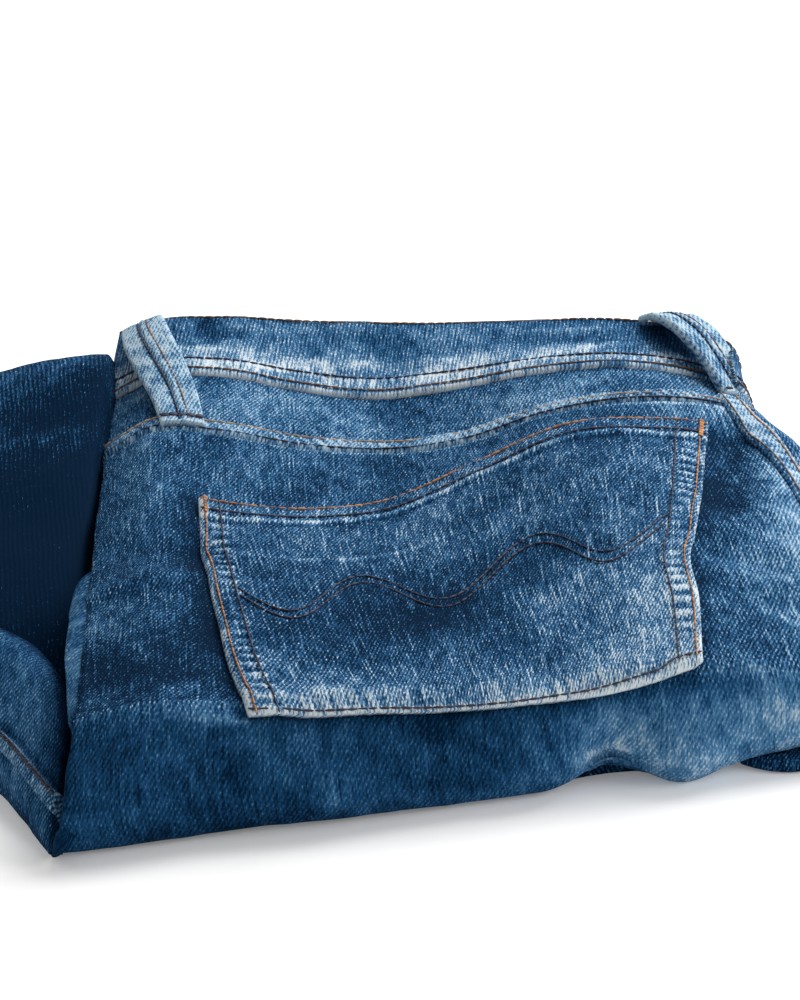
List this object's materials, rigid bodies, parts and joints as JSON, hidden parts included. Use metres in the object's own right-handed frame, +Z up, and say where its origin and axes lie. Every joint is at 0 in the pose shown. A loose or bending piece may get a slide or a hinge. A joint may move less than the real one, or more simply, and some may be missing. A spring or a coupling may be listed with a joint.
{
  "type": "folded jeans",
  "caption": "Blue denim jeans folded in half lengthwise with the legs tucked under, laid flat with the back waistband, yoke and patch pocket on top.",
  "frame": {"origin": "on the table, under the middle of the bundle's bounding box", "axes": "+X from the centre-back fold to the side seam, +Y from the front fold to the waistband, +Z up"},
  "size_m": [0.3502, 0.2792, 0.0649],
  "materials": {
    "denim_hidden": "washed denim twill, matte",
    "denim_seat": "washed denim twill, matte",
    "denim_yoke": "washed denim twill, matte",
    "denim_waistband": "washed denim twill, matte",
    "denim_waistband_inner": "washed denim twill, matte",
    "denim_front": "washed denim twill, matte",
    "denim_seam": "washed denim twill, matte",
    "denim_pocket": "washed denim twill, matte",
    "denim_loop": "washed denim twill, matte",
    "denim_shaded": "washed denim twill, matte",
    "denim_leg": "washed denim twill, matte"
  },
  "bodies": {
    "root": {"inner_layers": "denim_hidden", "back_panel": "denim_seat", "back_yoke": "denim_yoke", "waistband": "denim_waistband", "waistband_front_half": "denim_waistband_inner", "front_panel": "denim_front", "side_seam": "denim_seam", "crotch_edge": "denim_seam", "back_pocket": "denim_pocket", "belt_loop_back": "denim_loop", "belt_loop_side": "denim_loop", "thigh_roll": "denim_shaded", "shin_roll": "denim_leg", "inseam": "denim_seam", "leg_rear_fold": "denim_leg", "leg_hem_lower": "denim_leg", "leg_hem_upper": "denim_leg", "leg_under_fold": "denim_leg"}
  },
  "joints": []
}
